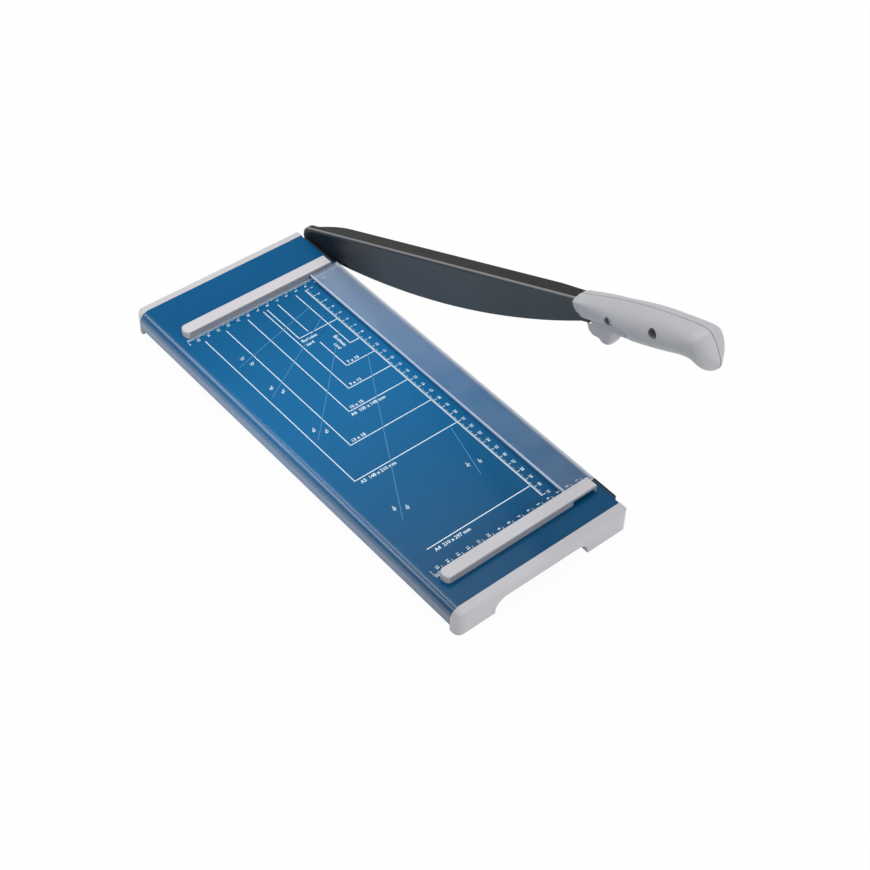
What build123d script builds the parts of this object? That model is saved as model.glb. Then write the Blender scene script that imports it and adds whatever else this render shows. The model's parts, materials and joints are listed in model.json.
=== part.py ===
"""Office paper trimmer: a folded steel table on moulded ends and a lever knife on a side pivot.

Millimetres. +Y runs along the cut towards the pivot, +X points out of the table past the
cutting edge, +Z is up. The origin is the zero corner of the work table: the cutting edge,
at the working face of the far stop, at table height.
"""

import os
from math import cos, radians, sin, sqrt

from build123d import *

os.makedirs("parts", exist_ok=True)

# ---------------------------------------------------------------- driving dimensions
# base
cut_length = 321.2
base_width = 171.2
table_height = 24.0
far_margin = 58.0
near_margin = 40.3

# folded table plate
sheet = 1.5
side_depth = 18.0
roll_radius = 8.5
fold_radius = 0.8
lip_width = 13.0
lip_bend_radius = 2.2

# moulded end caps
near_cap_band = 9.0
far_cap_band = 7.0
cap_end_proud = 1.0
cap_proud = 0.4
cap_wall = 2.5
cap_inner_corner = 4.5
cap_face_round = 2.2
foot_left_length = 36.0
foot_right_length = 39.6
arch_height = 14.2
arch_radius = 10.5
foot_round = 2.5
tab_reach = 16.0
tab_thickness = 2.4
shelf_thickness = 2.5
shelf_margin = 17.5
slip_fit = 0.1

# rubber pads
pad_length = 24.0
pad_width = 5.5
pad_corner = 2.7
pad_thickness = 2.0
pad_proud = 0.8

# rail and fixed knife
rail_width = 8.0
rail_end_gap = 2.5
knife_bar = 2.6
knife_bar_height = 16.0
knife_bar_near_gap = 5.5
knife_bar_far_gap = 5.0
knife_bar_round = 2.2
ground_relief = 0.5
bar_screws = 5
bar_screw_drop = 8.5
bar_screw_end = 22.0
bar_screw_pivot_gap = 44.0
rail_corner = 1.0

# paper stops and guard
stop_height = 7.0
stop_right = 8.3
stop_left_margin = 13.4
far_stop_width = 11.7
near_stop_width = 11.5
stop_end_round = 5.0
stop_edge_round = 1.2
stop_end_wall = 1.7
guard_gap = 2.4
guard_sheet = 1.6
guard_width = 29.0
guard_right = 2.6
guard_tongue = 7.0
guard_foot = 5.0
guard_clear = 0.2
guard_side_gap = 1.0
stop_screw_inset = 28.0
guard_screw_x = 20.0

# fasteners: shank radius, head radius, head height
m4_shank = 2.0
m4_head = 3.5
m4_head_height = 2.4
cap_screw_shank = 1.75
cap_screw_head = 3.4
cap_screw_head_height = 2.0
cap_screw_length = 9.0
screw_hole_clear = 0.1

# lever, given square to the closed position: along = from the pivot to the handle,
# rise = above the pivot
rest_angle = 24.0
pivot_y = 33.0
blade_gap = 0.1
blade_sheet = 2.6
belly_share = 0.405
belly_rise = -15.8
edge_tip_rise = 4.1
edge_start = 36.0
edge_overrun = 0.4
blade_tail = 8.0
heel_radius = 12.0
bevel_height = 4.5
bevel_land = 0.5
arm_top = 22.5
flange_sheet = 3.0
flange_width = 13.9
flange_tail = 10.0
flange_tip_width = 11.3
flange_taper = 41.0
nose_along = -2.7
nose_radius = 13.0
nose_plan_start = 45.0
nose_plan_radius = 90.0
ridge_round = 1.3
web_sheet = 3.0
web_low_along = 70.0
web_low_rise = -2.0
web_handle_rise = 9.0
blade_screws_first = 48.0
blade_screws_last = 44.0
blade_screws_count = 5
blade_screw_rise = 12.0

# pivot
bolt_radius = 4.0
bolt_head_rim = 2.0
bolt_head_height = 4.5
bolt_head_gap = 0.5
socket_radius = 2.8
socket_depth = 2.7
bush_wall = 2.0
running_clearance = 0.05
washer_rim = 4.5
washer_thickness = 1.2
disc_rim = 3.5
disc_thickness = 0.8
disc_cone = 0.35
nut_wall = 2.5
nut_thickness = 4.2
bolt_overhang = 0.7

# handle
handle_mid = 7.0
handle_half_width = 14.6
handle_overlap = 6.0
handle_length = 136.3
handle_top_front = 24.2
handle_top_crest = 26.5
crest_reach = 70.0
back_drop = 4.4
heel_length = 13.0
heel_drop = 3.8
handle_bottom = -4.4
handle_edge_round = 7.0
front_slope = 5.0
front_lift = 2.0
front_notch = 10.0
hook_bottom = -11.2
hook_tip = 9.0
hook_lift = 1.8
hook_mouth = 23.0
hook_lead = 1.0
palm_end = 34.0
grip_corners = (6, 5, 8, 12, 10, 12, 6, 3)
lug_length = 38.0
lug_top = 10.1
lug_front = 7.6
lug_front_rise = -9.0
lug_dip = 16.0
lug_dip_rise = -10.0
lug_knob = 20.0
lug_bottom = -14.0
lug_knob_end = 29.5
lug_knob_end_rise = -12.8
lug_back_rise = -5.0
lug_corners = (2, 3, 1.5, 3, 4, 3, 2)
table_side_gap = 0.4
closed_lift = 2.45
pass_gap = 0.65
pass_end_gap = 5.5
pocket_clear = 0.15
pocket_lead = 4.0
tang_length = 80.0
tang_low = 7.5
tang_high = 17.5
handle_screw_first = 42.2
handle_screw_step = 46.4
handle_screw_rise = 13.4
handle_screw_climb = 1.2
handle_screw_shank = 1.5
handle_screw_head = 3.3
handle_screw_head_height = 3.0
handle_recess_radius = 3.9
handle_seat_depth = 8.0
handle_nut_flats = 5.5
handle_nut_thickness = 2.4
handle_nut_seat = 5.0

# longer than any piece that a cutting shape passes through
cutter = 60.0

# ---------------------------------------------------------------- shared places
far_y = far_margin
near_y = -cut_length - near_margin
plate_far = far_y - far_cap_band
plate_near = near_y + near_cap_band
plate_length = plate_far - plate_near
left_x = -base_width
plate_right = -knife_bar
cap_right = plate_right + cap_end_proud
rail_right = plate_right - sheet
rail_left = rail_right - rail_width
rail_far = plate_far - rail_end_gap
rail_near = plate_near + rail_end_gap
cap_bottom = -table_height + pad_proud
near_stop_face = -cut_length
bolt_head_radius = bolt_radius + bolt_head_rim
bush_radius = bolt_radius + bush_wall
pivot_z = -sheet - bolt_head_gap - bolt_head_radius

blade_left = blade_gap
blade_right = blade_left + blade_sheet
web_right = blade_right + web_sheet
flange_right = blade_left + flange_width
arm_under = arm_top - flange_sheet
nose_rise = arm_top - nose_radius
nose_end = nose_along - nose_radius

edge_end = pivot_y + cut_length + edge_overrun
blade_end = edge_end + blade_tail
flange_end = edge_end + flange_tail
belly_along = edge_start + belly_share * (edge_end - edge_start)
tip_height = edge_tip_rise - belly_rise
edge_radius = (tip_height**2 + (edge_end - belly_along) ** 2) / (2 * tip_height)
handle_front = edge_end - handle_overlap
handle_end = handle_front + handle_length
tang_end = handle_front + tang_length


def edge_rise(along):
    """Height of the curved cutting edge over the pivot line, on its circle."""
    return belly_rise + edge_radius - sqrt(edge_radius**2 - (along - belly_along) ** 2)


def end_plane(y):
    """Cross-section plane at y: sketch x is +X, sketch y is +Z, and extrusion goes towards -Y."""
    return Plane.XZ.offset(-y)


def side_plane(x):
    """The lever's side view in its raised position: sketch x runs from the pivot to the handle,
    sketch y is square to it and up, and extrusion goes from x towards the table."""
    along = (0, -cos(radians(rest_angle)), sin(radians(rest_angle)))
    return Plane(origin=(x, pivot_y, pivot_z), x_dir=along, z_dir=(-1, 0, 0))


def top_plane(rise):
    """The lever's plan view at a height over the pivot line: sketch y is +X, extrusion goes up."""
    c, s = cos(radians(rest_angle)), sin(radians(rest_angle))
    return Plane(origin=(0, pivot_y + rise * s, pivot_z + rise * c), x_dir=(0, -c, s), z_dir=(0, s, c))


def save(piece, name):
    """Label the finished piece and write its STEP file."""
    piece.part.label = name
    export_step(piece.part, f"parts/{name}.step")


# ---------------------------------------------------------------- table plate
bar_near_y = plate_near + knife_bar_near_gap
bar_far_y = plate_far - knife_bar_far_gap
bar_screw_first = bar_near_y + bar_screw_end
bar_pitch = (pivot_y - bar_screw_pivot_gap - bar_screw_first) / (bar_screws - 1)
bar_screw_places = [bar_screw_first + i * bar_pitch for i in range(bar_screws)]
stop_screw_places = [
    (left_x + stop_screw_inset, far_stop_width / 2),
    (-guard_screw_x, far_stop_width / 2),
    (left_x + stop_screw_inset, near_stop_face - near_stop_width / 2),
    (-guard_screw_x, near_stop_face - near_stop_width / 2),
]
tab_screw_y = tab_reach - 2 * cap_screw_head
cap_screw_places = [
    (x, y)
    for x in (left_x + lip_width / 2, (rail_left + rail_right) / 2)
    for y in (plate_near + tab_screw_y, plate_far - tab_screw_y)
]

with BuildPart() as table_plate:
    with BuildSketch(end_plane(plate_far)):
        with BuildLine():
            outer = FilletPolyline(
                (left_x + lip_width, -side_depth),
                (left_x, -side_depth),
                (left_x, 0),
                (plate_right, 0),
                (plate_right, -side_depth),
                radius=(lip_bend_radius, roll_radius, fold_radius),
            )
            inner = FilletPolyline(
                (left_x + lip_width, -side_depth + sheet),
                (left_x + sheet, -side_depth + sheet),
                (left_x + sheet, -sheet),
                (rail_right, -sheet),
                (rail_right, -side_depth),
                radius=(lip_bend_radius - sheet, roll_radius - sheet, fold_radius / 2),
            )
            Line(outer @ 0, inner @ 0)
            Line(outer @ 1, inner @ 1)
        make_face()
    extrude(amount=plate_length)
    with BuildSketch(Plane.XY):
        with Locations(stop_screw_places):
            Circle(m4_shank + screw_hole_clear)
    extrude(amount=-sheet, mode=Mode.SUBTRACT)
    with BuildSketch(Plane.XY.offset(-side_depth)):
        with Locations([p for p in cap_screw_places if p[0] < left_x + lip_width]):
            Circle(cap_screw_shank)
    extrude(amount=sheet, mode=Mode.SUBTRACT)
    with BuildSketch(Plane.YZ.offset(plate_right)):
        with Locations([(y, -bar_screw_drop) for y in bar_screw_places]):
            Circle(m4_shank + screw_hole_clear)
        with Locations((pivot_y, pivot_z)):
            Circle(bolt_radius)
    extrude(amount=-sheet, mode=Mode.SUBTRACT)
save(table_plate, "table_plate")

# ---------------------------------------------------------------- end caps
foot_left_end = left_x + foot_left_length
foot_right_start = plate_right - foot_right_length
tab_top = -side_depth - slip_fit
pad_centres = [(left_x + foot_left_end) / 2, (foot_right_start + plate_right) / 2]


def cap_outline(inset):
    """The cap's end view, drawn inset by the wall: rolled left shoulder, two feet and the arch."""
    with BuildSketch() as outline:
        with BuildLine():
            FilletPolyline(
                (left_x - cap_proud, cap_bottom),
                (left_x - cap_proud, cap_proud),
                (cap_right, cap_proud),
                (cap_right, cap_bottom),
                (foot_right_start, cap_bottom),
                (foot_right_start, cap_bottom + arch_height),
                (foot_left_end, cap_bottom + arch_height),
                (foot_left_end, cap_bottom),
                radius=(
                    foot_round,
                    roll_radius + cap_proud,
                    cap_face_round,
                    foot_round,
                    foot_round,
                    arch_radius,
                    arch_radius,
                    foot_round,
                ),
                close=True,
            )
        make_face()
        if inset:
            offset(amount=-inset, mode=Mode.REPLACE)
    return outline.sketch


def cap_plan(band_y, face_y, inset):
    """The cap's plan from the plate to its outer face, drawn inset, with two rounded corners."""
    corner = min(roll_radius + cap_proud - inset, abs(face_y - band_y) - slip_fit)
    with BuildSketch() as plan:
        with BuildLine():
            FilletPolyline(
                (left_x - cap_proud + inset, band_y),
                (left_x - cap_proud + inset, face_y),
                (cap_right - inset, face_y),
                (cap_right - inset, band_y),
                radius=(corner, cap_inner_corner - inset),
            )
            Line((left_x - cap_proud + inset, band_y), (cap_right - inset, band_y))
        make_face()
    return plan.sketch


def end_cap(band_y, out, band):
    """A moulded cap on the plate's end at band_y, pointing towards out (-1 near, +1 far)."""
    face_y = band_y + out * band
    wall_y = face_y - out * cap_wall
    outer_view = cap_outline(0)
    inner_view = cap_outline(cap_wall)
    outer_plan = cap_plan(band_y, face_y, 0)
    inner_plan = cap_plan(band_y, wall_y, cap_wall)
    with BuildPart() as hollow:
        with BuildSketch(end_plane(band_y)):
            add(inner_view)
        extrude(amount=-out * (band - cap_wall))
        with BuildSketch(Plane.XY.offset(-table_height)):
            add(inner_plan)
        extrude(amount=2 * table_height, mode=Mode.INTERSECT)
    with BuildPart() as cap:
        with BuildSketch(end_plane(band_y)):
            add(outer_view)
        extrude(amount=-out * band)
        with BuildSketch(Plane.XY.offset(-table_height)):
            add(outer_plan)
        extrude(amount=2 * table_height, mode=Mode.INTERSECT)
        with BuildSketch(Plane.YZ.offset(cap_right)):
            with BuildLine():
                FilletPolyline(
                    (band_y, cap_bottom),
                    (face_y, cap_bottom),
                    (face_y, cap_proud),
                    (band_y, cap_proud),
                    radius=cap_face_round,
                )
                Line((band_y, cap_bottom), (band_y, cap_proud))
            make_face()
        extrude(amount=-base_width - cap_wall, mode=Mode.INTERSECT)
        add(hollow.part, mode=Mode.SUBTRACT)
        # shelf under the table top, tabs under the plate's lip and under the rail
        reach_y = band_y - out * tab_reach
        shelf_right = rail_left - bolt_head_height - cap_wall
        ledges = [
            (left_x + shelf_margin, shelf_right, -sheet - slip_fit, shelf_thickness),
            (left_x + cap_wall, foot_left_end - cap_wall, tab_top, tab_thickness),
            (foot_right_start + cap_wall, plate_right - cap_wall, tab_top, tab_thickness),
        ]
        for ledge_left, ledge_right, ledge_top, thickness in ledges:
            with BuildSketch(Plane.XY.offset(ledge_top)):
                with Locations(((ledge_left + ledge_right) / 2, (wall_y + reach_y) / 2)):
                    Rectangle(ledge_right - ledge_left, abs(wall_y - reach_y))
            extrude(amount=-thickness)
        with BuildSketch(Plane.XY.offset(tab_top)):
            with Locations([p for p in cap_screw_places if p[1] * out > 0]):
                Circle(cap_screw_shank + screw_hole_clear)
        extrude(amount=-tab_thickness, mode=Mode.SUBTRACT)
        # recesses for the rubber pads
        with BuildSketch(Plane.XY.offset(cap_bottom)):
            with Locations([(x, (band_y + face_y) / 2) for x in pad_centres]):
                RectangleRounded(pad_length, pad_width, pad_corner)
        extrude(amount=pad_thickness - pad_proud, mode=Mode.SUBTRACT)
    return cap


near_end_cap = end_cap(plate_near, -1, near_cap_band)
save(near_end_cap, "near_end_cap")

far_end_cap = end_cap(plate_far, 1, far_cap_band)
save(far_end_cap, "far_end_cap")

pad_rows = [near_y + near_cap_band / 2, far_y - far_cap_band / 2]

with BuildPart() as rubber_feet:
    with BuildSketch(Plane.XY.offset(-table_height)):
        with Locations([(x, y) for x in pad_centres for y in pad_rows]):
            RectangleRounded(pad_length, pad_width, pad_corner)
    extrude(amount=pad_thickness)
save(rubber_feet, "rubber_feet")

with BuildPart() as cap_screws:
    with BuildSketch(Plane.XY.offset(tab_top - tab_thickness)):
        with Locations(cap_screw_places):
            Circle(cap_screw_head)
    extrude(amount=-cap_screw_head_height)
    with BuildSketch(Plane.XY.offset(tab_top - tab_thickness)):
        with Locations(cap_screw_places):
            Circle(cap_screw_shank)
    extrude(amount=cap_screw_length)
save(cap_screws, "cap_screws")

# ---------------------------------------------------------------- rail and fixed knife
with BuildPart() as bed_rail:
    with BuildSketch(end_plane(rail_far)):
        with Locations(((rail_left + rail_right) / 2, -(sheet + side_depth) / 2)):
            Rectangle(rail_width, side_depth - sheet)
    extrude(amount=rail_far - rail_near)
    fold_side = bed_rail.edges().filter_by(Axis.Y).group_by(Axis.Z)[-1].sort_by(Axis.X)[-1]
    chamfer(fold_side, length=rail_corner)
    with BuildSketch(Plane.YZ.offset(rail_right)):
        with Locations([(y, -bar_screw_drop) for y in bar_screw_places]):
            Circle(m4_shank)
        with Locations((pivot_y, pivot_z)):
            Circle(bolt_radius)
    extrude(amount=-rail_width, mode=Mode.SUBTRACT)
    with BuildSketch(Plane.XY.offset(-side_depth)):
        with Locations([p for p in cap_screw_places if p[0] > rail_left]):
            Circle(cap_screw_shank)
    extrude(amount=cap_screw_length, mode=Mode.SUBTRACT)
save(bed_rail, "bed_rail")

with BuildPart() as counter_blade:
    with BuildSketch(end_plane(bar_far_y)):
        with Locations((-knife_bar / 2, -knife_bar_height / 2)):
            Rectangle(knife_bar, knife_bar_height)
    extrude(amount=bar_far_y - bar_near_y)
    near_corner = counter_blade.edges().filter_by(Axis.Z).group_by(Axis.Y)[0].sort_by(Axis.X)[-1]
    fillet(near_corner, radius=knife_bar_round)
    low_edge = counter_blade.edges().filter_by(Axis.Y).group_by(Axis.Z)[0].sort_by(Axis.X)[-1]
    chamfer(low_edge, length=ground_relief)
    with Locations(
        [Location((0, y, -bar_screw_drop), (0, 90, 0)) for y in bar_screw_places]
    ):
        CounterSinkHole(m4_shank + screw_hole_clear, m4_head, depth=knife_bar)
    with BuildSketch(Plane.YZ):
        with Locations((pivot_y, pivot_z)):
            Circle(bolt_radius)
    extrude(amount=-knife_bar, mode=Mode.SUBTRACT)
save(counter_blade, "counter_blade")

with BuildPart() as counter_blade_screws:
    with BuildSketch(Plane.YZ):
        with Locations([(y, -bar_screw_drop) for y in bar_screw_places]):
            Circle(m4_shank)
    extrude(amount=-(knife_bar + sheet + rail_width))
    cone_height = m4_head - m4_shank - screw_hole_clear
    with Locations(
        [Location((-cone_height / 2, y, -bar_screw_drop), (0, 90, 0)) for y in bar_screw_places]
    ):
        Cone(m4_shank, m4_head - screw_hole_clear, cone_height)
save(counter_blade_screws, "counter_blade_screws")

# ---------------------------------------------------------------- stops and guard
stop_left = left_x + stop_left_margin
notch_left = -guard_right - guard_width - guard_side_gap
notch_right = -stop_right - stop_end_wall
notch_height = guard_gap + guard_sheet + guard_clear


def paper_stop(y_low, y_high, screws):
    """A moulded bar across the table with a rounded left end, bridging the guard's tongue."""
    middle_y = (y_low + y_high) / 2
    with BuildPart() as stop:
        with BuildSketch(Plane.XY):
            with Locations(((stop_left - stop_right) / 2, middle_y)):
                Rectangle(-stop_right - stop_left, y_high - y_low)
        extrude(amount=stop_height)
        fillet(stop.edges().filter_by(Axis.Z).group_by(Axis.X)[0], radius=stop_end_round)
        fillet(stop.faces().sort_by(Axis.Z)[-1].edges(), radius=stop_edge_round)
        with BuildSketch(Plane.XY):
            with Locations(((notch_left + notch_right) / 2, middle_y)):
                Rectangle(notch_right - notch_left, 2 * (y_high - y_low))
        extrude(amount=notch_height, mode=Mode.SUBTRACT)
        with BuildSketch(Plane.XY):
            with Locations(screws):
                Circle(m4_shank)
        extrude(amount=stop_height - sheet, mode=Mode.SUBTRACT)
    return stop


far_stop = paper_stop(0, far_stop_width, stop_screw_places[:2])
save(far_stop, "far_stop")

near_stop = paper_stop(near_stop_face - near_stop_width, near_stop_face, stop_screw_places[2:])
save(near_stop, "near_stop")

with BuildPart() as stop_screws:
    with BuildSketch(Plane.XY.offset(-sheet)):
        with Locations(stop_screw_places):
            Circle(m4_head)
    extrude(amount=-m4_head_height)
    with BuildSketch(Plane.XY.offset(-sheet)):
        with Locations(stop_screw_places):
            Circle(m4_shank)
    extrude(amount=stop_height - guard_clear)
save(stop_screws, "stop_screws")

guard_left = -guard_right - guard_width
tongue_left = guard_left + guard_clear
tongue_right = notch_right - guard_clear

with BuildPart() as guard_strip:
    with BuildSketch(Plane.XY.offset(guard_gap)):
        with Locations((-guard_right - guard_width / 2, -cut_length / 2)):
            Rectangle(guard_width, cut_length - 2 * guard_clear)
        with Locations(((tongue_left + tongue_right) / 2, -cut_length / 2)):
            Rectangle(tongue_right - tongue_left, cut_length + 2 * guard_tongue)
    extrude(amount=guard_sheet)
    foot_y = guard_tongue - guard_foot / 2
    with BuildSketch(Plane.XY):
        with Locations(
            ((tongue_left + tongue_right) / 2, foot_y),
            ((tongue_left + tongue_right) / 2, near_stop_face - foot_y),
        ):
            Rectangle(tongue_right - tongue_left, guard_foot)
    extrude(amount=guard_gap)
    with BuildSketch(Plane.XY):
        with Locations([p for p in stop_screw_places if p[0] > guard_left]):
            Circle(m4_shank + screw_hole_clear)
    extrude(amount=guard_gap + guard_sheet, mode=Mode.SUBTRACT)
save(guard_strip, "guard_strip")

# ---------------------------------------------------------------- lever: knife and arm
blade_screws_step = (edge_end - blade_screws_last - blade_screws_first) / (blade_screws_count - 1)
blade_screw_places = [
    (blade_screws_first + i * blade_screws_step, blade_screw_rise)
    for i in range(blade_screws_count)
]
heel_left = nose_along - (nose_radius - flange_sheet)
handle_screw_places = [
    (handle_front + handle_screw_first, handle_screw_rise),
    (
        handle_front + handle_screw_first + handle_screw_step,
        handle_screw_rise + handle_screw_climb,
    ),
]

with BuildPart() as upper_blade:
    with BuildSketch(side_plane(blade_right)):
        with BuildLine():
            Line((heel_left, 0), (heel_left, nose_rise))
            RadiusArc((heel_left, nose_rise), (nose_along, arm_under), nose_radius - flange_sheet)
            Polyline(
                (nose_along, arm_under),
                (blade_end, arm_under),
                (blade_end, edge_rise(edge_end)),
                (edge_end, edge_rise(edge_end)),
            )
            ThreePointArc(
                (edge_end, edge_rise(edge_end)),
                (belly_along, edge_rise(belly_along)),
                (edge_start, edge_rise(edge_start)),
            )
            Line((edge_start, edge_rise(edge_start)), (0, -heel_radius))
            ThreePointArc(
                (0, -heel_radius),
                (heel_left * sin(radians(45)), -heel_radius * sin(radians(45))),
                (heel_left, 0),
            )
        make_face()
        Circle(bush_radius, mode=Mode.SUBTRACT)
        with Locations(blade_screw_places):
            Circle(m4_shank, mode=Mode.SUBTRACT)
    extrude(amount=blade_sheet)
    outer_edge = upper_blade.faces().sort_by(Axis.X)[-1].edges().filter_by(GeomType.CIRCLE)
    cutting_edge = outer_edge.sort_by(SortBy.LENGTH)[-1]
    bevel_side = upper_blade.faces().sort_by(Axis.X)[-1]
    chamfer(cutting_edge, length=bevel_height, length2=blade_sheet - bevel_land, reference=bevel_side)
save(upper_blade, "upper_blade")

with BuildPart() as knife_arm:
    # flange over the knife, wrapped down around the nose
    with BuildSketch(side_plane(flange_right)):
        with BuildLine():
            Line((nose_end, nose_rise), (heel_left, nose_rise))
            RadiusArc((heel_left, nose_rise), (nose_along, arm_under), nose_radius - flange_sheet)
            Polyline(
                (nose_along, arm_under),
                (flange_end, arm_under),
                (flange_end, arm_top),
                (nose_along, arm_top),
            )
            RadiusArc((nose_along, arm_top), (nose_end, nose_rise), -nose_radius)
        make_face()
    extrude(amount=flange_width)
    # the nose narrows to the web in plan, and the flange narrows into the handle
    plan_drop = nose_plan_start - sqrt(
        nose_plan_radius**2 - (nose_plan_radius - flange_right + web_right) ** 2
    )
    with BuildSketch(top_plane(-arm_top)):
        with BuildLine():
            Polyline(
                (plan_drop, web_right),
                (nose_end, web_right),
                (nose_end, blade_left),
                (flange_end, blade_left),
                (flange_end, flange_tip_width),
                (flange_end - flange_taper, flange_right),
                (nose_plan_start, flange_right),
            )
            RadiusArc((nose_plan_start, flange_right), (plan_drop, web_right), -nose_plan_radius)
        make_face()
    extrude(amount=cutter, mode=Mode.INTERSECT)
    left_edges = knife_arm.faces().sort_by(Axis.X)[0].edges()
    ridge = [e for e in left_edges if side_plane(0).to_local_coords(e).center().Y > arm_under + ridge_round]
    fillet(ridge, radius=ridge_round)
    # web on the knife's outer side, with the tang behind it
    with BuildSketch(side_plane(web_right)):
        with BuildLine():
            Line((heel_left, 0), (heel_left, nose_rise))
            RadiusArc((heel_left, nose_rise), (nose_along, arm_under), nose_radius - flange_sheet)
            Polyline(
                (nose_along, arm_under),
                (flange_end, arm_under),
                (flange_end, tang_high),
                (tang_end, tang_high),
                (tang_end, tang_low),
                (flange_end, tang_low),
                (blade_end, web_handle_rise),
                (web_low_along, web_low_rise),
                (0, -heel_radius),
            )
            ThreePointArc(
                (0, -heel_radius),
                (heel_left * sin(radians(45)), -heel_radius * sin(radians(45))),
                (heel_left, 0),
            )
        make_face()
    extrude(amount=web_sheet)
    with BuildSketch(side_plane(web_right)):
        Circle(bush_radius)
        with Locations(blade_screw_places):
            Circle(m4_shank + screw_hole_clear)
        with Locations([p for p in handle_screw_places if p[0] < tang_end]):
            Circle(handle_screw_shank + screw_hole_clear)
    extrude(amount=web_sheet, mode=Mode.SUBTRACT)
save(knife_arm, "knife_arm")

with BuildPart() as blade_screws:
    with BuildSketch(side_plane(web_right + m4_head_height)):
        with Locations(blade_screw_places):
            Circle(m4_head)
    extrude(amount=m4_head_height)
    with BuildSketch(side_plane(web_right)):
        with Locations(blade_screw_places):
            Circle(m4_shank)
    extrude(amount=web_right - blade_left - slip_fit)
save(blade_screws, "blade_screws")

# ---------------------------------------------------------------- pivot
with BuildPart() as pivot_bush:
    with BuildSketch(side_plane(web_right)):
        Circle(bush_radius)
        Circle(bolt_radius + running_clearance, mode=Mode.SUBTRACT)
    extrude(amount=web_right - blade_left)
save(pivot_bush, "pivot_bush")

washer_left = web_right + running_clearance
discs_left = washer_left + washer_thickness
nut_left = discs_left + 2 * (disc_thickness + disc_cone)
bolt_end = nut_left + nut_thickness + bolt_overhang
pivot_plane = Plane(origin=(0, pivot_y, pivot_z), x_dir=(0, 1, 0), z_dir=(1, 0, 0))

with BuildPart() as pivot_bolt:
    with BuildSketch(pivot_plane.offset(rail_left)):
        Circle(bolt_head_radius)
    extrude(amount=-bolt_head_height)
    with BuildSketch(pivot_plane.offset(rail_left)):
        Circle(bolt_radius)
    extrude(amount=bolt_end - rail_left)
    with BuildSketch(pivot_plane.offset(rail_left - bolt_head_height)):
        RegularPolygon(socket_radius, 6)
    extrude(amount=socket_depth, mode=Mode.SUBTRACT)
save(pivot_bolt, "pivot_bolt")

with BuildPart() as pivot_washer:
    with BuildSketch(pivot_plane.offset(washer_left)):
        Circle(bolt_radius + washer_rim)
        Circle(bolt_radius, mode=Mode.SUBTRACT)
    extrude(amount=washer_thickness)
save(pivot_washer, "pivot_washer")

# two conical spring discs set mouth to mouth
disc_reach = bolt_radius + disc_rim
with BuildPart() as pivot_spring_discs:
    axis_plane = Plane(origin=(discs_left, pivot_y, pivot_z), x_dir=(0, 1, 0), z_dir=(0, 0, 1))
    with BuildSketch(axis_plane):
        with BuildLine():
            Polyline(
                (bolt_radius, 0),
                (disc_reach, -disc_cone),
                (disc_reach, -disc_cone - disc_thickness),
                (bolt_radius, -disc_thickness),
                close=True,
            )
        make_face()
    revolve(axis=Axis((0, pivot_y, pivot_z), (1, 0, 0)))
    mirror(about=pivot_plane.offset(discs_left + disc_thickness + disc_cone))
save(pivot_spring_discs, "pivot_spring_discs")

with BuildPart() as pivot_nut:
    with BuildSketch(pivot_plane.offset(nut_left)):
        RegularPolygon(bolt_radius + nut_wall, 6, major_radius=False)
        Circle(bolt_radius, mode=Mode.SUBTRACT)
    extrude(amount=nut_thickness)
save(pivot_nut, "pivot_nut")

# ---------------------------------------------------------------- handle
seat_x = handle_mid - handle_seat_depth
nut_seat_x = handle_mid + handle_nut_seat
lug_half_width = handle_mid - table_side_gap
heel_rise = handle_top_crest - back_drop
heel_along = handle_end - heel_length


def grip_outline():
    """Side view of the grip: a long back that rolls over into the hook behind the palm."""
    with BuildSketch() as outline:
        with BuildLine():
            ThreePointArc(
                (handle_front, handle_top_front),
                (handle_front + crest_reach, handle_top_crest),
                (heel_along, heel_rise),
            )
            FilletPolyline(
                (heel_along, heel_rise),
                (handle_end, heel_rise - heel_drop),
                (handle_end, hook_bottom + hook_lift),
                (handle_end - hook_tip, hook_bottom),
                (handle_end - hook_mouth, handle_bottom - hook_lead),
                (handle_end - palm_end, handle_bottom),
                (handle_front + lug_length, handle_bottom),
                (handle_front + front_slope, handle_bottom + front_lift),
                (handle_front, handle_bottom + front_notch),
                (handle_front, handle_top_front),
                radius=grip_corners,
            )
        make_face()
    return outline.sketch


def lug_outline():
    """Side view of the finger lug that hangs from the front of the grip."""
    with BuildSketch() as outline:
        with BuildLine():
            FilletPolyline(
                (handle_front + lug_front, lug_top),
                (handle_front + lug_front, lug_front_rise),
                (handle_front + lug_dip, lug_dip_rise),
                (handle_front + lug_knob, lug_bottom),
                (handle_front + lug_knob_end, lug_knob_end_rise),
                (handle_front + lug_length, lug_back_rise),
                (handle_front + lug_length, lug_top),
                radius=lug_corners,
                close=True,
            )
        make_face()
    return outline.sketch


grip_view = grip_outline()
lug_view = lug_outline()

# rooms inside the two shells for the flange, the knife, the tang and its root:
# right side, width, end along the lever, lowest and highest rise
lever_rooms = [
    (flange_right, flange_width, flange_end, arm_under, arm_top),
    (web_right, web_right - blade_left, blade_end, edge_rise(handle_front), arm_top),
    (web_right, web_sheet, tang_end, tang_low, tang_high),
    (web_right, web_sheet, flange_end, tang_low, arm_top),
]

with BuildPart() as lever_space:
    for room_right, room_width, room_end, room_low, room_high in lever_rooms:
        with BuildSketch(side_plane(room_right + pocket_clear)):
            with Locations((room_end + pocket_clear, (room_low + room_high) / 2)):
                Rectangle(
                    room_end + pocket_clear - handle_front + pocket_lead,
                    room_high - room_low + 2 * pocket_clear,
                    align=(Align.MAX, Align.CENTER),
                )
        extrude(amount=room_width + 2 * pocket_clear)

# the closed handle passes the table's edge with its near cap, and the guard's end
table_pass_rise = -pivot_z - closed_lift + pass_gap
table_passes = [
    (pivot_y - near_y + pass_end_gap, table_pass_rise),
    (pivot_y + cut_length + pass_gap, table_pass_rise + guard_gap + guard_sheet),
]

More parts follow.
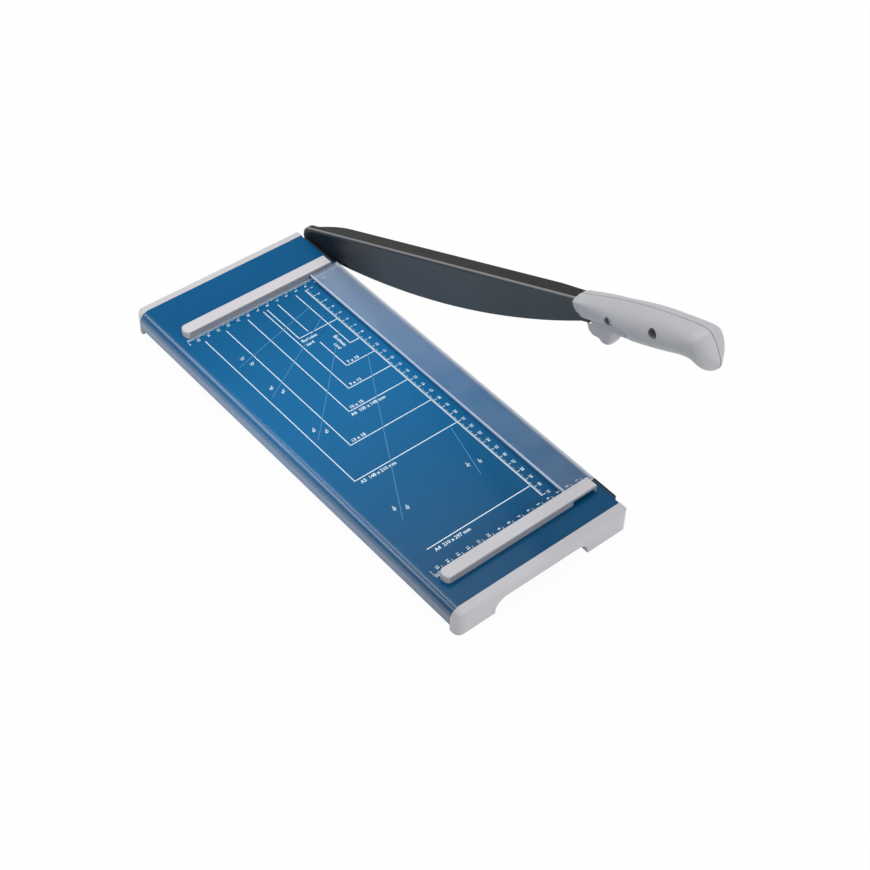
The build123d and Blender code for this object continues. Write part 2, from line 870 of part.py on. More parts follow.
with BuildPart() as handle_left:
    with BuildSketch(side_plane(handle_mid)):
        add(grip_view)
    extrude(amount=handle_half_width)
    fillet(handle_left.faces().sort_by(Axis.X)[0].edges(), radius=handle_edge_round)
    with BuildSketch(side_plane(table_side_gap)):
        for pass_end, pass_rise in table_passes:
            with Locations((pass_end, pass_rise)):
                Rectangle(cutter, cutter, align=(Align.MAX, Align.MAX))
    extrude(amount=handle_half_width, mode=Mode.SUBTRACT)
    with BuildSketch(side_plane(handle_mid)):
        add(lug_view)
    extrude(amount=lug_half_width)
    with BuildSketch(side_plane(seat_x)):
        with Locations(handle_screw_places):
            Circle(handle_recess_radius)
    extrude(amount=handle_half_width, mode=Mode.SUBTRACT)
    with BuildSketch(side_plane(handle_mid)):
        with Locations(handle_screw_places):
            Circle(handle_screw_shank + screw_hole_clear)
    extrude(amount=handle_seat_depth, mode=Mode.SUBTRACT)
    add(lever_space.part, mode=Mode.SUBTRACT)
save(handle_left, "handle_left")

with BuildPart() as handle_right:
    with BuildSketch(side_plane(handle_mid + handle_half_width)):
        add(grip_view)
    extrude(amount=handle_half_width)
    fillet(handle_right.faces().sort_by(Axis.X)[-1].edges(), radius=handle_edge_round)
    with BuildSketch(side_plane(handle_mid + lug_half_width)):
        add(lug_view)
    extrude(amount=lug_half_width)
    with BuildSketch(side_plane(nut_seat_x)):
        with Locations(handle_screw_places):
            Circle(handle_screw_shank + screw_hole_clear)
    extrude(amount=handle_nut_seat, mode=Mode.SUBTRACT)
    with BuildSketch(side_plane(nut_seat_x)):
        with Locations(handle_screw_places):
            RegularPolygon(handle_nut_flats / 2 + screw_hole_clear, 6, major_radius=False)
    extrude(amount=-handle_half_width, mode=Mode.SUBTRACT)
    add(lever_space.part, mode=Mode.SUBTRACT)
save(handle_right, "handle_right")

with BuildPart() as handle_screws:
    with BuildSketch(side_plane(seat_x)):
        with Locations(handle_screw_places):
            Circle(handle_screw_head)
    extrude(amount=handle_screw_head_height)
    with BuildSketch(side_plane(nut_seat_x + handle_nut_thickness)):
        with Locations(handle_screw_places):
            Circle(handle_screw_shank)
    extrude(amount=nut_seat_x + handle_nut_thickness - seat_x)
save(handle_screws, "handle_screws")

with BuildPart() as handle_nuts:
    with BuildSketch(side_plane(nut_seat_x + handle_nut_thickness)):
        with Locations(handle_screw_places):
            RegularPolygon(handle_nut_flats / 2, 6, major_radius=False)
            Circle(handle_screw_shank, mode=Mode.SUBTRACT)
    extrude(amount=handle_nut_thickness)
save(handle_nuts, "handle_nuts")
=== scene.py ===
"""Looks of the office paper trimmer: painted table with its printed scale, clear guard strip,
moulded stops and end caps, coated knife and arm, and the two-shell grip.

Metres, in the part's own frame: +Y runs along the cut towards the pivot, +X points out past
the cutting edge, +Z is up, and the origin is the zero corner of the table.
"""

import json
import math

import bmesh
import bpy
import numpy as np
from mathutils import Matrix, Vector


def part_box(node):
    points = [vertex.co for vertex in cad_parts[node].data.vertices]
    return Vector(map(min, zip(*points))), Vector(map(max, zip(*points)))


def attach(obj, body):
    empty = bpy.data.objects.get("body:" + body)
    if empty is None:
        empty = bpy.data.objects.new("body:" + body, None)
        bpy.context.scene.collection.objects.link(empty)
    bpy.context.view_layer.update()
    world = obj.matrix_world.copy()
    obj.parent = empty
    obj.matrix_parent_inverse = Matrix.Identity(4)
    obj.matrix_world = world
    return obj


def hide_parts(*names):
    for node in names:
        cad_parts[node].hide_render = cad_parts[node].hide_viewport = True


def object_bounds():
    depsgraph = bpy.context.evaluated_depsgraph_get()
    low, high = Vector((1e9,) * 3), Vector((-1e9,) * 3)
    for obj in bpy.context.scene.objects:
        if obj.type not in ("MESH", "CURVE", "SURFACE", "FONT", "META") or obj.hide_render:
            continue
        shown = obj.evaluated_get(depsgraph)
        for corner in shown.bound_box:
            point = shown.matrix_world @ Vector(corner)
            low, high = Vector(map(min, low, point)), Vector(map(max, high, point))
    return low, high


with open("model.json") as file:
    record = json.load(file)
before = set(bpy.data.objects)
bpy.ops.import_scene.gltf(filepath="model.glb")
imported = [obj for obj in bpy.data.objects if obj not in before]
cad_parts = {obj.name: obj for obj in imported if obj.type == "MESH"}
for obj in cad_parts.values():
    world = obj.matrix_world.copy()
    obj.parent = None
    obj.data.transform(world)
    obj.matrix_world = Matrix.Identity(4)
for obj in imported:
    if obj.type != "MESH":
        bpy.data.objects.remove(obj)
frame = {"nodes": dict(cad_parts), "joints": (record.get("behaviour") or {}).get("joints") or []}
cad_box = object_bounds()
nodes = frame["nodes"]

MM = 0.001
EVERY_WAY = (1.0, 1.0, 1.0)
UNTURNED = (0.0, 0.0, 0.0)

table_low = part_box("table_plate")[0]
guard_low, guard_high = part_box("guard_strip")
far_stop_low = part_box("far_stop")[0]
near_stop_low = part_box("near_stop")[0]
desk = cad_box[0].z


# ---------------------------------------------------------------- shader arithmetic
class Wire:
    """A shader socket that takes part in Python arithmetic: each operator adds one Math node."""

    def __init__(self, finish, socket):
        self.finish = finish
        self.socket = socket

    def math(self, operation, *terms, clamp=False):
        settings = {"operation": operation, "use_clamp": clamp}
        return self.finish.node("ShaderNodeMath", settings, dict(enumerate(terms)))

    def __add__(self, other):
        return self.math("ADD", self, other)

    def __radd__(self, other):
        return self.math("ADD", other, self)

    def __sub__(self, other):
        return self.math("SUBTRACT", self, other)

    def __rsub__(self, other):
        return self.math("SUBTRACT", other, self)

    def __mul__(self, other):
        return self.math("MULTIPLY", self, other)

    def __rmul__(self, other):
        return self.math("MULTIPLY", other, self)

    def __pow__(self, other):
        return self.math("POWER", self, other)

    def step(self, start, end):
        """0 below start and 1 above end, or the other way round if start is the larger."""
        return self.math("MULTIPLY", self - start, 1.0 / (end - start), clamp=True)


class Finish:
    """One material: its surface shader, and the nodes that feed it."""

    def __init__(self, name):
        self.material = bpy.data.materials.new(name)
        self.material.use_nodes = True
        self.tree = self.material.node_tree
        self.tree.nodes.clear()
        self.output = self.tree.nodes.new("ShaderNodeOutputMaterial")
        self.shader = self.tree.nodes.new("ShaderNodeBsdfPrincipled")
        self.tree.links.new(self.shader.outputs[0], self.output.inputs["Surface"])

    def put(self, socket, value):
        """Links a wire to a socket, or sets the socket to a plain value."""
        if isinstance(value, Wire):
            self.tree.links.new(value.socket, socket)
        else:
            socket.default_value = value

    def node(self, kind, settings=None, inputs=None, output=0):
        """Adds a node: its settings come first, then the values or wires of its sockets."""
        node = self.tree.nodes.new(kind)
        for key, value in (settings or {}).items():
            setattr(node, key, value)
        for key, value in (inputs or {}).items():
            self.put(node.inputs[key], value)
        return Wire(self, node.outputs[output])

    def surface(self, **sockets):
        """Feeds the surface shader; an underscore in a name stands for a space."""
        for key, value in sockets.items():
            self.put(self.shader.inputs[key.replace("_", " ")], value)

    def place(self, stretch=EVERY_WAY, turn=UNTURNED):
        """Object coordinates, turned and stretched."""
        spot = self.node("ShaderNodeTexCoord", output="Object")
        if stretch == EVERY_WAY and turn == UNTURNED:
            return spot
        turned = self.node("ShaderNodeMapping", None, {"Vector": spot, "Rotation": turn})
        return self.node("ShaderNodeVectorMath", {"operation": "MULTIPLY"}, {0: turned, 1: stretch})

    def axes(self):
        """The three object coordinates as wires."""
        spot = self.place()
        split = self.tree.nodes.new("ShaderNodeSeparateXYZ")
        self.put(split.inputs[0], spot)
        return [Wire(self, socket) for socket in split.outputs]

    def lever_axes(self):
        """Distance along the raised lever from its pivot, and rise square to it, in metres."""
        x, y, z = self.axes()
        sine, cosine = math.sin(rest_angle), math.cos(rest_angle)
        back, up = y - float(pivot[1]), z - float(pivot[2])
        return up * sine - back * cosine, up * cosine + back * sine

    def noise(self, scale, detail, stretch=EVERY_WAY, turn=UNTURNED, rough=0.5):
        """Grey noise with features about 1 / scale metres across."""
        settings = {"noise_dimensions": "3D"}
        inputs = {
            "Vector": self.place(stretch, turn),
            "Scale": scale,
            "Detail": detail,
            "Roughness": rough,
        }
        return self.node("ShaderNodeTexNoise", settings, inputs)

    def blend(self, share, first, second):
        """A colour between two colours."""
        settings = {"data_type": "RGBA"}
        return self.node("ShaderNodeMix", settings, {0: share, 6: first, 7: second}, output=2)

    def bump(self, height, depth, strength):
        """A surface normal from a height wire that spans depth metres."""
        inputs = {"Height": height, "Distance": depth, "Strength": strength}
        return self.node("ShaderNodeBump", None, inputs)


def tint(red, green, blue):
    """A display colour, 0 to 255, as the linear colour that a shader takes."""
    share = np.array([red, green, blue]) / 255.0
    linear = np.where(share <= 0.04045, share / 12.92, ((share + 0.055) / 1.055) ** 2.4)
    return (*linear.tolist(), 1.0)


# ---------------------------------------------------------------- finishes
# Where a finish changes over the part. Each pair says where the change starts and where it is
# complete, in metres unless its own note says otherwise.
# painted light and shade on the table: the blue is painted palest along the middle and darker towards
# both ends
NEAR_PAINTED_SHADE_ENDS = (-0.36, -0.14)  # y
FAR_PAINTED_SHADE_BEGINS = (-0.08, 0.02)  # y
ROLL_FROM_LEFT = (13.0 * MM, 9.0 * MM)  # x, from the table's left side
ROLL_DROP = (-0.1 * MM, -0.7 * MM)  # z
# painted shade inside the grip's screw recesses
RECESS_SHADE_SPAN = (0.15, -0.1)  # millimetres past the recess's own radius
# painted shade on the stops' near sides
STOP_SHADED_SIDE = (0.7 * MM, 0.2 * MM)  # y, from the stop's near side
# painted sheen, painted highlight and painted light on the clear guard
GUARD_SHEEN_GROWS = (-0.2, -0.02)  # y
GUARD_EDGE_HIGHLIGHT = (1.9 * MM, 0.9 * MM)  # x, from the guard's left side
GUARD_PALE_RIM_START = -7.0 * MM  # x; the rim is complete at the guard's right side
GUARD_CUT_SIDE = (-2.2 * MM, 0.6 * MM)  # x
# the knife bar's paler edge line: partly bare steel, partly a painted highlight
GROUND_GLINT_TOP = (-0.3 * MM, -0.1 * MM)  # z
GROUND_GLINT_INNER = (-1.75 * MM, -1.95 * MM)  # x
# painted sheen and painted shade along the lever's coat
LEVER_PAINTED_SHEEN = (0.34, 0.21)  # along the lever from its pivot
LEVER_PAINTED_SHADE = (0.105, 0.03)  # along the lever from its pivot
# painted light on the side of the arm's fold, and a painted highlight along its top
FOLD_LIT_SIDE = (1.7 * MM, 1.1 * MM)  # x
FOLD_CREST_HIGHLIGHT = (21.0 * MM, 21.9 * MM)  # rise over the lever's line


def moulded_plastic(name, light, dark, roughness, recesses=(), shaded_face=None):
    """Injection-moulded plastic: faint flow clouds and a fine spark-eroded grain. Inside the deep
    round recesses, given by along and rise in millimetres, the walls are painted dark as painted
    shade, and the near side that stands at the given face is painted darker than the top, as painted
    shade."""
    finish = Finish(name)
    clouds = finish.noise(22.0, 3.0)
    speckle = finish.noise(900.0, 2.0)
    grain = finish.noise(2600.0, 3.0, rough=0.6)
    colour = finish.blend((clouds - 0.5) * 1.2 + 0.5, light, dark)
    # painted shade: the walls of each round recess are painted dark
    for centre_along, centre_rise in recesses:
        along, rise = finish.lever_axes()
        along, rise = along - centre_along * MM, rise - centre_rise * MM
        inner = (along * along + rise * rise) ** 0.5
        wall = inner.step(*((RECESS_RADIUS + aside) * MM for aside in RECESS_SHADE_SPAN))
        colour = finish.blend(wall, colour, tint(72, 74, 78))
    # painted shade: the near side of a stop is painted darker than its top
    if shaded_face is not None:
        x, y, z = finish.axes()
        face_shade = y.step(*(shaded_face + aside for aside in STOP_SHADED_SIDE))
        colour = finish.blend(face_shade * 0.8, colour, tint(140, 143, 152))
    finish.surface(
        Base_Color=colour,
        Roughness=roughness + (speckle - 0.5) * 0.12,
        Normal=finish.bump(grain, 0.02 * MM, 0.6),
        Specular_IOR_Level=0.42,
    )
    return finish.material


def powder_coat():
    """Blue powder coat: faint orange peel under a satin gloss, and a little rubbing. The blue is
    painted palest along the middle and darker towards both ends, as painted light and shade. The
    rolled left edge carries a glossy clear coat that stops short of the flat top."""
    finish = Finish("blue_powder_coat")
    x, y, z = finish.axes()
    peel = finish.noise(420.0, 2.0)
    clouds = finish.noise(9.0, 2.0)
    flecks = finish.noise(2400.0, 1.0)
    rub = finish.noise(60.0, 4.0, stretch=(1.0, 0.25, 1.0))
    # painted light and shade: the far and near blues are painted darker than the middle one
    far = finish.blend(clouds, tint(3, 87, 136), tint(5, 91, 142))
    middle = finish.blend(clouds, tint(16, 103, 157), tint(21, 108, 162))
    near = finish.blend(clouds, tint(1, 66, 103), tint(2, 70, 109))
    colour = finish.blend(y.step(*NEAR_PAINTED_SHADE_ENDS), near, middle)
    colour = finish.blend(y.step(*FAR_PAINTED_SHADE_BEGINS), colour, far)
    rolled = x.step(*(table_low.x + aside for aside in ROLL_FROM_LEFT)) * z.step(*ROLL_DROP)
    finish.surface(
        Base_Color=finish.blend(flecks.step(0.62, 0.8) * 0.15, colour, tint(40, 112, 165)),
        Roughness=0.26 + (rub - 0.5) * 0.10,
        Normal=finish.bump(peel, 0.03 * MM, 0.35),
        Specular_IOR_Level=0.16,
        Coat_Weight=rolled * 0.8,
        Coat_Roughness=0.14,
        Coat_IOR=1.8,
    )
    return finish.material


def print_ink(name, colour, wear):
    """Screen-printed ink, thinner where the paper has rubbed it."""
    finish = Finish(name)
    rubbed = finish.noise(700.0, 3.0)
    finish.surface(
        Base_Color=finish.blend(rubbed.step(0.56, 0.80) * wear, colour, tint(70, 140, 190)),
        Roughness=0.5 + (rubbed - 0.5) * 0.2,
        Normal=finish.bump(rubbed, 0.01 * MM, 0.3),
    )
    return finish.material


def clear_guard():
    """Clear moulded strip: a faint haze, a pale veil painted on towards the far end as painted sheen,
    a painted highlight along the edge on the table side, and a rim painted paler towards the cut,
    as painted light."""
    finish = Finish("clear_guard_plastic")
    x, y, z = finish.axes()
    haze = finish.noise(45.0, 4.0)
    scuffs = finish.noise(500.0, 5.0, stretch=(1.0, 0.12, 1.0))
    # painted highlight: the edge on the table side is painted bright
    edge = x.step(*(guard_low.x + aside for aside in GUARD_EDGE_HIGHLIGHT))
    # painted light: the rim is painted paler towards the cut
    rim = x.step(GUARD_PALE_RIM_START, guard_high.x)
    rim = rim * rim
    # painted sheen: the pale veil grows towards the far end
    far = y.step(*GUARD_SHEEN_GROWS)
    body = finish.blend(haze, tint(196, 214, 238), tint(214, 226, 244))
    tinted = finish.blend(rim, body, tint(244, 248, 255))
    haze_and_sheen = 0.065 + far * 0.165 + (haze - 0.5) * 0.06 + scuffs.step(0.6, 0.8) * 0.04
    finish.surface(
        Base_Color=finish.blend(edge, tinted, tint(205, 218, 240)),
        Roughness=0.30 + (scuffs - 0.5) * 0.2,
        Alpha=haze_and_sheen + edge * 0.7 + rim * 0.6 + x.step(*GUARD_CUT_SIDE) * 0.2,
        Normal=finish.bump(scuffs, 0.01 * MM, 0.3),
        Specular_IOR_Level=0.25,
    )
    return finish.material


def brushed_metal(name, light, dark, roughness, stretch):
    """Ground, drawn or plated steel: a fine grain, drawn out into streaks along an axis whose
    stretch is small."""
    finish = Finish(name)
    streaks = finish.noise(900.0, 4.0, stretch=stretch)
    stains = finish.noise(40.0, 3.0)
    finish.surface(
        Base_Color=finish.blend(streaks * 0.6 + stains * 0.4, light, dark),
        Metallic=1.0,
        Roughness=roughness + (streaks - 0.5) * 0.2,
        Normal=finish.bump(streaks, 0.01 * MM, 0.4),
    )
    return finish.material


def counter_edge():
    """Blackened knife bar with a thin, slightly paler bluish line along its inner top edge: partly the
    bare steel of the grinding, partly a painted highlight.
    """
    finish = Finish("blackened_knife_bar")
    x, y, z = finish.axes()
    streaks = finish.noise(900.0, 4.0, stretch=(1.0, 0.05, 1.0))
    # partly the bare steel of the grinding, partly a painted highlight in a bluish tint
    ground_glint = z.step(*GROUND_GLINT_TOP) * x.step(*GROUND_GLINT_INNER)
    black = finish.blend(streaks, tint(12, 13, 14), tint(24, 25, 27))
    finish.surface(
        Base_Color=finish.blend(ground_glint, black, tint(62, 82, 102)),
        Roughness=0.5 + (streaks - 0.5) * 0.2,
        Normal=finish.bump(streaks, 0.01 * MM, 0.4),
        Specular_IOR_Level=0.2,
    )
    return finish.material


def coated_steel(name, light, dark, roughness, wear_colour, painted_fold_light):
    """Dark satin coating on pressed steel: fine texture, soft clouds and slight rubbing. It is painted
    paler along the middle of the lever as painted sheen, and black by the pivot as painted shade.
    A fold light of 1 paints the side of the fold over the knife lighter than the top, as painted
    light, and paints a bright highlight line along the top of the fold."""
    finish = Finish(name)
    x, y, z = finish.axes()
    along, rise = finish.lever_axes()
    texture = finish.noise(1500.0, 3.0)
    clouds = finish.noise(14.0, 3.0)
    rub = finish.noise(260.0, 5.0, stretch=(1.0, 0.08, 1.0), turn=(rest_angle, 0.0, 0.0))
    # painted sheen: the coat is painted paler along the middle of the lever
    middle = along.step(*LEVER_PAINTED_SHEEN) * 0.8 + clouds * 0.2
    colour = finish.blend(middle, dark, light)
    colour = finish.blend(rub.step(0.60, 0.85) * 0.3, colour, wear_colour)
    # painted shade: the coat is painted black by the pivot
    colour = finish.blend(along.step(*LEVER_PAINTED_SHADE) * 0.9, colour, tint(9, 11, 11))
    # painted light: the side of the fold is painted lighter than the arm's top
    side = x.step(*FOLD_LIT_SIDE) * painted_fold_light
    colour = finish.blend(side, colour, tint(70, 74, 76))
    # painted highlight: a bright line painted along the top edge of the fold
    crest_highlight = side * rise.step(*FOLD_CREST_HIGHLIGHT)
    finish.surface(
        Base_Color=finish.blend(crest_highlight, colour, tint(132, 134, 136)),
        Roughness=roughness + (rub - 0.5) * 0.14,
        Normal=finish.bump(texture, 0.02 * MM, 0.3),
        Specular_IOR_Level=0.28,
    )
    return finish.material


def soft_rubber():
    """Black rubber with a dull bloom."""
    finish = Finish("black_foot_rubber")
    bloom = finish.noise(180.0, 4.0)
    pores = finish.noise(3000.0, 2.0)
    finish.surface(
        Base_Color=finish.blend(bloom, tint(26, 26, 27), tint(46, 46, 47)),
        Roughness=0.82 + (bloom - 0.5) * 0.1,
        Normal=finish.bump(pores, 0.03 * MM, 0.5),
    )
    return finish.material


def bronze_bush():
    """Sintered bronze with open pores."""
    finish = Finish("sintered_bronze")
    pores = finish.noise(2200.0, 3.0)
    finish.surface(
        Base_Color=finish.blend(pores, tint(176, 128, 74), tint(120, 84, 46)),
        Metallic=1.0,
        Roughness=0.42 + (pores - 0.5) * 0.3,
        Normal=finish.bump(pores, 0.03 * MM, 0.5),
    )
    return finish.material


# ---------------------------------------------------------------- mesh helpers
def mesh_piece(name, points, faces, finish, body):
    """Makes an object from a point array and face lists, in place, riding on a body."""
    mesh = bpy.data.meshes.new(name)
    mesh.from_pydata(points.tolist(), [], faces.tolist() if hasattr(faces, "tolist") else faces)
    mesh.update()
    piece = bpy.data.objects.new(name, mesh)
    bpy.context.scene.collection.objects.link(piece)
    mesh.materials.append(finish)
    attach(piece, body)
    return piece


def grid_faces(rows, columns):
    """The quads of a rows x columns grid of points that is stored row by row."""
    corner = np.arange((rows - 1) * columns).reshape(rows - 1, columns)[:, :-1].ravel()
    return np.stack([corner, corner + 1, corner + columns + 1, corner + columns], axis=1)


def smooth_curve(points, steps):
    """Points on the curve through the given points at the given index places: each span is the
    cubic whose end slopes are half the chord between its neighbours (Catmull-Rom)."""
    knots = np.asarray(points, float)
    padded = np.vstack([2 * knots[0] - knots[1], knots, 2 * knots[-1] - knots[-2]])
    span = np.clip(np.floor(steps).astype(int), 0, len(knots) - 2)
    t = (steps - span)[:, None]
    before, start, end, after = (padded[span + k] for k in range(4))
    return 0.5 * (
        2 * start
        + (end - before) * t
        + (2 * before - 5 * start + 4 * end - after) * t**2
        + (3 * start - before - 3 * end + after) * t**3
    )


def rail_line(points, count):
    """A rail's curve as an open line of count points, even in index place."""
    return smooth_curve(points, np.linspace(0, len(points) - 1, count))


def distance_to(line, u, w):
    """Distance from each point (u, w) to the nearest point of an open line of short straight runs:
    the foot on each run is clamped to its ends, and the least distance is kept."""
    start, run = line[:-1], np.diff(line, axis=0)
    length = (run**2).sum(axis=1)
    du = u[..., None] - start[:, 0]
    dw = w[..., None] - start[:, 1]
    share = np.clip((du * run[:, 0] + dw * run[:, 1]) / length, 0.0, 1.0)
    return np.sqrt(((du - share * run[:, 0]) ** 2 + (dw - share * run[:, 1]) ** 2).min(axis=-1))


def ease(value, start, end):
    """0 before start, 1 after end, and a smooth cubic between."""
    t = np.clip((value - start) / (end - start), 0.0, 1.0)
    return t * t * (3 - 2 * t)


def bulge(distance, reach, power):
    """Height of a rounded edge, 0 to 1: a superellipse quarter over the given reach."""
    left = 1.0 - np.clip(distance / reach, 0.0, 1.0)
    return (1.0 - left**power) ** (1.0 / power)


# ---------------------------------------------------------------- the lever's own directions
joint = frame["joints"][0]
pivot = np.array(joint["pos_m"])
rest_angle = math.radians(24.0)
lever_along = np.array([0.0, -math.cos(rest_angle), math.sin(rest_angle)])
lever_rise = np.array([0.0, math.sin(rest_angle), math.cos(rest_angle)])


def on_lever(x, u, w):
    """Points of the part's frame from x, distance along the lever and rise over it, in millimetres."""
    side = np.stack([x, np.zeros_like(x), np.zeros_like(x)], axis=-1)
    return pivot + MM * (side + u[..., None] * lever_along + w[..., None] * lever_rise)


# ---------------------------------------------------------------- grip shells
# sizes in millimetres; along is the distance from the pivot, rise is square to it
GRIP_MID = 7.0
GRIP_GAP = 0.26
FRONT_SIDE_LEFT = 10.6
FRONT_SIDE_RIGHT = 6.6
PALM_SIDE = 14.36
LUG_SIDE = 6.45
BACK_REACH_FRONT, BACK_REACH = 3.4, 13.0
BELLY_REACH = 18.0
LUG_REACH = 5.0
FRONT_REACH = 2.6
GRIP_SCREWS = [(392.2, 13.4), (438.6, 14.6)]
RECESS_RADIUS = 3.9
RECESS_SIDES = 48
RECESS_SEAT_LEFT, RECESS_SEAT_RIGHT, RECESS_END = 8.0, 5.0, 20.0
SHARP_DEGREES = 40.0

# spans along the lever over which the half thickness changes
LEFT_WIDENS = (346.0, 415.0)
RIGHT_WIDENS_FROM, RIGHT_WIDENS_OVER = 344.0, 96.0
PALM_FILLS = (352.0, 405.0)
HEEL_TIGHTENS, HEEL_TIGHTER, HEEL_TIP = (452.0, 478.0), 5.0, 484.0
MOUTH_START = 330.0

# the finger lug: the end of its rail, and where it dies out along the lever and up the side
LUG_RAIL_END, LUG_ENDS, LUG_FADES_UP = 392.0, (379.0, 391.0), (6.0, 16.0)

# powers of the rounded edges: 2 is a quarter circle, and more is squarer
BACK_POWER, BACK_POWER_DROP = 2.8, 0.7
BELLY_POWER, LUG_POWER, FRONT_POWER = 2.0, 2.2, 4.0
JOIN_POWER, LIMIT_POWER = 5, 8

# room that the left half leaves for the guard and the fixed knife while the lever is closed. The
# half thickness may gain so much: over a span of rise past the knife, over a climb from a rise
# past the guard (a rise that is higher at the mouth), and over a span along the lever at the palm
KNIFE_GAIN, KNIFE_RISES = 2.7, (6.5, 8.2)
GUARD_GAIN, GUARD_RISE, GUARD_CLIMB = 8.0, 8.2, 5.0
MOUTH_EXTRA, MOUTH_EXTRA_ENDS = 2.4, (356.0, 361.0)
PALM_GAIN, PALM_GAIN_OVER = 12.0, (399.0, 419.0)

# ribs: crowded at the front edge, even along the length, and points on each rib; the front line's
# bend dies out over the first few index places
FRONT_RIBS, LENGTH_RIBS, RIB_POINTS = 14, 190, 84
FRONT_BEND_ENDS = 4.0

# rails of the side view, as (along, rise): the back of the grip down to its heel, and the
# underside with the finger lug and the hook, matched rib by rib
grip_back = [
    (352.8, 23.3), (355.0, 23.4), (359.0, 23.6), (363.5, 23.9), (368.5, 24.3), (374.5, 24.8),
    (381.0, 25.3), (389.0, 25.7), (400.0, 26.1), (415.0, 26.3), (430.0, 26.0), (442.0, 25.2),
    (452.5, 24.2), (461.0, 23.3), (469.0, 22.4), (476.2, 21.1), (481.6, 18.2), (484.6, 11.2),
    (485.6, 3.6), (485.8, -1.6), (485.1, -5.4),
]
grip_under = [
    (358.4, -5.6), (360.4, -7.9), (363.8, -8.9), (366.9, -9.6), (369.4, -12.4), (375.0, -13.4),
    (381.2, -9.6), (389.0, -3.6), (400.0, -3.1), (415.0, -3.8), (430.0, -4.0), (443.0, -3.8),
    (454.0, -3.5), (464.0, -4.6), (470.0, -7.9), (474.8, -9.9), (479.0, -10.2), (482.2, -9.3),
    (483.8, -7.8), (484.6, -6.6), (485.1, -5.4),
]
grip_front = [
    (352.8, 23.3), (352.4, 20.6), (352.2, 16.0), (352.8, 11.6), (354.4, 8.4), (356.8, 6.4),
    (358.4, 4.6), (358.6, 1.4), (358.5, -2.4), (358.4, -5.6),
]
# underside of the palm, carried on behind the lug
grip_belly = [
    (330.0, 5.0), (345.0, 4.5), (357.0, 3.0), (370.0, 0.0), (385.0, -2.0), (400.0, -3.1), (415.0, -3.8),
    (430.0, -4.0), (443.0, -3.8), (454.0, -3.5), (464.0, -4.6), (470.0, -7.9), (474.8, -9.9),
    (479.0, -10.2), (482.2, -9.3), (483.8, -7.8), (485.1, -5.4),
]


def grip_ribs():
    """The side view as ribs from back rail to under rail, crowded towards every edge. The first rib
    is bent to the front line, and that bend dies out over the next ribs."""
    last = len(grip_back) - 1
    front_steps = np.linspace(0, 1, FRONT_RIBS) ** 3
    steps = np.concatenate([front_steps, np.linspace(1, last, LENGTH_RIBS)[1:]])
    across = (1 - np.cos(np.pi * np.linspace(0, 1, RIB_POINTS))) / 2
    top = smooth_curve(grip_back, steps)[:, None, :]
    bottom = smooth_curve(grip_under, steps)[:, None, :]
    ribs = top + (bottom - top) * across[None, :, None]
    front = smooth_curve(grip_front, across * (len(grip_front) - 1))
    fade = (1 - ease(steps, 0.0, FRONT_BEND_ENDS))[:, None, None]
    ribs = ribs + (front - ribs[0])[None] * fade
    return ribs[..., 0], ribs[..., 1]


def room_when_closed(u, w):
    """Half thickness that the left half may have beside the closed table: the lug's own, plus a
    smooth step up over the fixed knife, one over the guard, and one along the lever to the palm."""
    over_guard = GUARD_RISE + MOUTH_EXTRA * (1 - ease(u, *MOUTH_EXTRA_ENDS))
    room = LUG_SIDE + KNIFE_GAIN * ease(w, *KNIFE_RISES)
    room = room + GUARD_GAIN * ease(w, over_guard, over_guard + GUARD_CLIMB)
    return room + PALM_GAIN * ease(u, *PALM_GAIN_OVER)


def grip_height(u, w, left):
    """Half thickness over the side view: the palm is a width times two rounded edges, one by the
    distance from the back rail and one by that from the belly. The finger lug is joined to it by a
    power mean, and the left half is held in softly where the closed lever passes the table."""
    back = rail_line(grip_back, 240)
    back = np.vstack([[MOUTH_START, back[0, 1]], back])
    belly = rail_line(grip_belly, 200)
    inside = (w > np.interp(u, belly[:, 0], belly[:, 1])) | (u > HEEL_TIP)
    if left:
        side = FRONT_SIDE_LEFT + (PALM_SIDE - FRONT_SIDE_LEFT) * ease(u, *LEFT_WIDENS)
    else:
        opened = np.clip((u - RIGHT_WIDENS_FROM) / RIGHT_WIDENS_OVER, 0.0, 1.0)
        side = FRONT_SIDE_RIGHT + (PALM_SIDE - FRONT_SIDE_RIGHT) * np.sin(np.pi / 2 * opened)
    filled = ease(u, *PALM_FILLS)
    reach = BACK_REACH_FRONT + (BACK_REACH - BACK_REACH_FRONT) * filled
    reach = reach - (HEEL_TIGHTER if left else 0.0) * ease(u, *HEEL_TIGHTENS)
    over = bulge(distance_to(back, u, w) / reach, 1.0, BACK_POWER - BACK_POWER_DROP * filled)
    under = bulge(distance_to(belly, u, w), BELLY_REACH, BELLY_POWER)
    palm = np.where(inside, side * over * under, 0.0)
    rail = rail_line(grip_under, 240)
    lug_line = rail[rail[:, 0] < LUG_RAIL_END]
    lug = LUG_SIDE * bulge(distance_to(lug_line, u, w), LUG_REACH, LUG_POWER)
    lug = lug * (1 - ease(u, *LUG_ENDS)) * (1 - ease(w, *LUG_FADES_UP))
    height = (palm**JOIN_POWER + lug**JOIN_POWER) ** (1 / JOIN_POWER)
    if left:
        over_room = height / room_when_closed(u, w)
        height = height / (1 + over_room**LIMIT_POWER) ** (1 / LIMIT_POWER)
    height = height * bulge(np.hypot(u - u[:1], w - w[:1]), FRONT_REACH, FRONT_POWER)
    height[0], height[-1], height[:, 0], height[:, -1] = 0.0, 0.0, 0.0, 0.0
    return height


